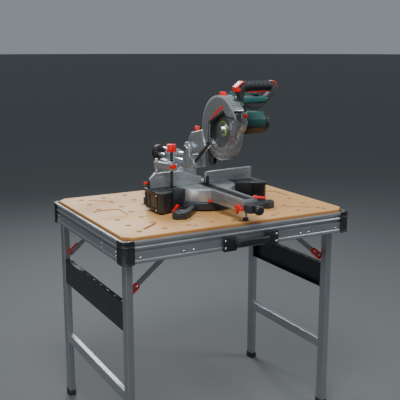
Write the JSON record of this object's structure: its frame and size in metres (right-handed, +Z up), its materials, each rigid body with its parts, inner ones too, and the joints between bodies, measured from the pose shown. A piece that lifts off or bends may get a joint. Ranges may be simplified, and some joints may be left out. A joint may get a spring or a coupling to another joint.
{
  "type": "mitre saw on folding stand",
  "caption": "Sliding mitre saw bolted to a folding aluminium work table with a perforated wooden top, braced legs, fences, side tables and clamp.",
  "frame": {"origin": "centre of the footprint of the whole object, on the floor", "axes": "+X along the table and the saw's fence to the operator's right, -Y towards the operator, +Z up"},
  "size_m": [0.966, 0.826, 1.3654],
  "materials": {
    "wood_board": "satin",
    "aluminium_extrusion": "satin",
    "saw_casting": "satin",
    "black_plastic": "matte",
    "base_casting": "satin",
    "black_steel": "satin",
    "fixing_steel": "polished",
    "plain_steel": "satin",
    "red_plastic": "gloss",
    "green_plastic": "satin",
    "grip_rubber": "matte",
    "foot_rubber": "matte",
    "clear_guard": "gloss",
    "chrome_tube": "polished"
  },
  "bodies": {
    "table": {"table_board": "wood_board", "frame_rails": "aluminium_extrusion", "corner_castings": "black_plastic", "carry_handle": "black_plastic", "fixings": "fixing_steel", "leg_brackets": "plain_steel", "leg_pivot_bolts": "fixing_steel", "saw_base": "base_casting", "fence_support": "saw_casting"},
    "left_leg_frame": {"left_legs": "aluminium_extrusion", "left_leg_panel": "black_steel", "left_cross_bar": "aluminium_extrusion", "left_feet": "foot_rubber"},
    "right_leg_frame": {"right_legs": "aluminium_extrusion", "right_leg_panel": "black_steel", "right_cross_bar": "aluminium_extrusion", "right_feet": "foot_rubber"},
    "left_brace_pair": {"left_braces": "plain_steel"},
    "right_brace_pair": {"right_braces": "plain_steel"},
    "left_latch_pair": {"left_latches": "red_plastic"},
    "right_latch_pair": {"right_latches": "red_plastic"},
    "left_fence_slide": {"left_fence": "saw_casting"},
    "right_fence_slide": {"right_fence": "saw_casting"},
    "left_side_table": {"left_extension": "base_casting", "clamp_frame": "saw_casting"},
    "right_side_table": {"right_extension": "base_casting"},
    "left_side_lever": {"left_extension_lever": "red_plastic"},
    "right_side_lever": {"right_extension_lever": "red_plastic"},
    "mitre_table": {"turntable": "saw_casting", "kerf_board": "black_plastic", "mitre_handle": "black_plastic", "arm_foot": "fixing_steel"},
    "mitre_clamp_knob": {"mitre_knob": "black_plastic"},
    "detent_trigger": {"detent_lever": "red_plastic"},
    "mitre_lock": {"mitre_lock_lever": "red_plastic"},
    "bevel_body": {"bevel_arm": "saw_casting"},
    "bevel_clamp": {"bevel_lever": "red_plastic"},
    "bevel_stop": {"bevel_stop_pin": "red_plastic"},
    "carriage": {"slide_tubes": "chrome_tube", "slide_end_cap": "black_plastic", "head_bracket": "saw_casting", "head_pivot_pin": "fixing_steel"},
    "link": {"guard_link": "black_steel"},
    "head": {"gear_case": "saw_casting", "upper_guard": "saw_casting", "motor_housing": "green_plastic", "motor_end_cap": "black_plastic", "handle_body": "green_plastic", "handle_grip": "grip_rubber", "dust_chute": "grip_rubber"},
    "blade": {"saw_blade": "plain_steel", "blade_spindle": "fixing_steel"},
    "rotor": {"motor_armature": "plain_steel"},
    "guard": {"lower_guard": "clear_guard"},
    "switch": {"trigger": "black_plastic"},
    "lock_off": {"lock_off_paddle": "red_plastic"},
    "spindle_lock": {"spindle_lock_button": "red_plastic"},
    "transport_pin": {"head_lock_pin": "red_plastic"},
    "pad": {"clamp_pad": "black_steel"},
    "clamp_screw": {"clamp_spindle": "black_steel"}
  },
  "joints": [
    {"name": "left_leg_fold", "type": "hinge", "parent": "table", "child": "left_leg_frame", "pos_m": [-0.4475, 0.021, 0.795], "axis": [0, -1, 0], "range_deg": [0, 90]},
    {"name": "right_leg_fold", "type": "hinge", "parent": "table", "child": "right_leg_frame", "pos_m": [0.4475, 0.021, 0.76], "axis": [0, 1, 0], "range_deg": [0, 90]},
    {"name": "left_brace_fold", "type": "hinge", "parent": "table", "child": "left_brace_pair", "pos_m": [-0.2155, 0.021, 0.821], "axis": [0, -1, 0], "range_deg": [0, 141.18]},
    {"name": "right_brace_fold", "type": "hinge", "parent": "table", "child": "right_brace_pair", "pos_m": [0.2155, 0.021, 0.821], "axis": [0, 1, 0], "range_deg": [0, 141.18]},
    {"name": "left_latch_slide", "type": "slide", "parent": "left_brace_pair", "child": "left_latch_pair", "axis": [0.7781, 0, 0.6282], "range_m": [0, 0.012]},
    {"name": "right_latch_slide", "type": "slide", "parent": "right_brace_pair", "child": "right_latch_pair", "axis": [-0.7781, 0, 0.6282], "range_m": [0, 0.012]},
    {"name": "left_fence_slide", "type": "slide", "parent": "table", "child": "left_fence_slide", "axis": [-1, 0, 0], "range_m": [0, 0.06]},
    {"name": "right_fence_slide", "type": "slide", "parent": "table", "child": "right_fence_slide", "axis": [1, 0, 0], "range_m": [0, 0.06]},
    {"name": "left_side_table_slide", "type": "slide", "parent": "table", "child": "left_side_table", "axis": [-1, 0, 0], "range_m": [0, 0.11]},
    {"name": "right_side_table_slide", "type": "slide", "parent": "table", "child": "right_side_table", "axis": [1, 0, 0], "range_m": [0, 0.11]},
    {"name": "left_side_lever_turn", "type": "hinge", "parent": "table", "child": "left_side_lever", "pos_m": [-0.139, -0.06976, 0.885], "axis": [-0.4559, 0.89, 0], "range_deg": [0, 60]},
    {"name": "right_side_lever_turn", "type": "hinge", "parent": "table", "child": "right_side_lever", "pos_m": [0.173, -0.06976, 0.885], "axis": [-0.4559, -0.89, 0], "range_deg": [0, 60]},
    {"name": "mitre_turn", "type": "hinge", "parent": "table", "child": "mitre_table", "pos_m": [0.017, -0.001, 0.901], "axis": [0, 0, 1], "range_deg": [-47, 47]},
    {"name": "mitre_knob_turn", "type": "hinge", "parent": "mitre_table", "child": "mitre_clamp_knob", "pos_m": [0.017, -0.401, 0.917], "axis": [0, 1, 0], "range_deg": [0, 180]},
    {"name": "detent_squeeze", "type": "hinge", "parent": "mitre_table", "child": "detent_trigger", "pos_m": [-0.022, -0.323, 0.919], "axis": [1, 0, 0], "range_deg": [0, 15], "stiffness_Nm_per_rad": 0.6, "springref_deg": -17.19},
    {"name": "mitre_lock_turn", "type": "hinge", "parent": "mitre_table", "child": "mitre_lock", "pos_m": [0.044, -0.334, 0.951], "axis": [0, 0, 1], "range_deg": [0, 40]},
    {"name": "bevel_tilt", "type": "hinge", "parent": "mitre_table", "child": "bevel_body", "pos_m": [0.017, 0.159, 0.946], "axis": [0, -1, 0], "range_deg": [0, 33]},
    {"name": "bevel_lever_lift", "type": "hinge", "parent": "bevel_body", "child": "bevel_clamp", "pos_m": [0.083, 0.189, 0.983], "axis": [-1, 0, 0], "range_deg": [0, 25]},
    {"name": "bevel_stop_pull", "type": "slide", "parent": "bevel_body", "child": "bevel_stop", "axis": [0, -1, 0], "range_m": [0, 0.006]},
    {"name": "head_slide", "type": "slide", "parent": "bevel_body", "child": "carriage", "axis": [0, 1, 0], "range_m": [-0.09, 0.115]},
    {"name": "head_swing", "type": "hinge", "parent": "carriage", "child": "head", "pos_m": [0.017, 0.073, 1.08], "axis": [-1, 0, 0], "range_deg": [-32, 0], "stiffness_Nm_per_rad": 22, "springref_deg": 48.7},
    {"name": "guard_link_turn", "type": "hinge", "parent": "carriage", "child": "link", "pos_m": [-0.011, 0.025, 1.025], "axis": [-1, 0, 0], "range_deg": [-32.1, 0.1]},
    {"name": "lower_guard_turn", "type": "hinge", "parent": "head", "child": "guard", "pos_m": [0.017, -0.154, 1.181], "axis": [-1, 0, 0], "range_deg": [-0.1, 127.2]},
    {"name": "blade_spin", "type": "hinge", "parent": "head", "child": "blade", "pos_m": [0.017, -0.154, 1.181], "axis": [1, 0, 0], "continuous": true},
    {"name": "motor_spin", "type": "hinge", "parent": "head", "child": "rotor", "pos_m": [0.017, -0.191, 1.202], "axis": [1, 0, 0], "continuous": true},
    {"name": "trigger_press", "type": "slide", "parent": "head", "child": "switch", "axis": [0, 0, 1], "range_m": [0, 0.005], "stiffness_N_per_m": 400, "springref_m": -0.006},
    {"name": "lock_off_press", "type": "hinge", "parent": "head", "child": "lock_off", "pos_m": [-0.04, -0.339, 1.335], "axis": [0, 1, 0], "range_deg": [0, 4], "stiffness_Nm_per_rad": 0.5, "springref_deg": -11.46},
    {"name": "spindle_lock_press", "type": "slide", "parent": "head", "child": "spindle_lock", "axis": [0, 1, 0], "range_m": [0, 0.004], "stiffness_N_per_m": 400, "springref_m": -0.006},
    {"name": "transport_pin_pull", "type": "slide", "parent": "head", "child": "transport_pin", "axis": [0, 0, 1], "range_m": [0, 0.008]},
    {"name": "clamp_pad_lift", "type": "slide", "parent": "left_side_table", "child": "pad", "axis": [0, 0, 1], "range_m": [0, 0.06]},
    {"name": "clamp_screw_turn", "type": "hinge", "parent": "pad", "child": "clamp_screw", "pos_m": [-0.152, -0.056, 0.961], "axis": [0, 0, 1], "range_deg": [0, 5400]}
  ],
  "couplings": [
    {"joint": "left_brace_fold", "follows": "left_leg_fold", "ratio": 1.5676},
    {"joint": "right_brace_fold", "follows": "right_leg_fold", "ratio": 1.5676},
    {"joint": "guard_link_turn", "follows": "head_swing", "ratio": 1},
    {"joint": "lower_guard_turn", "follows": "head_swing", "ratio": -3.9688},
    {"joint": "motor_spin", "follows": "blade_spin", "ratio": -2.4583},
    {"joint": "clamp_screw_turn", "follows": "clamp_pad_lift", "rad_per_m": 1570.8}
  ]
}
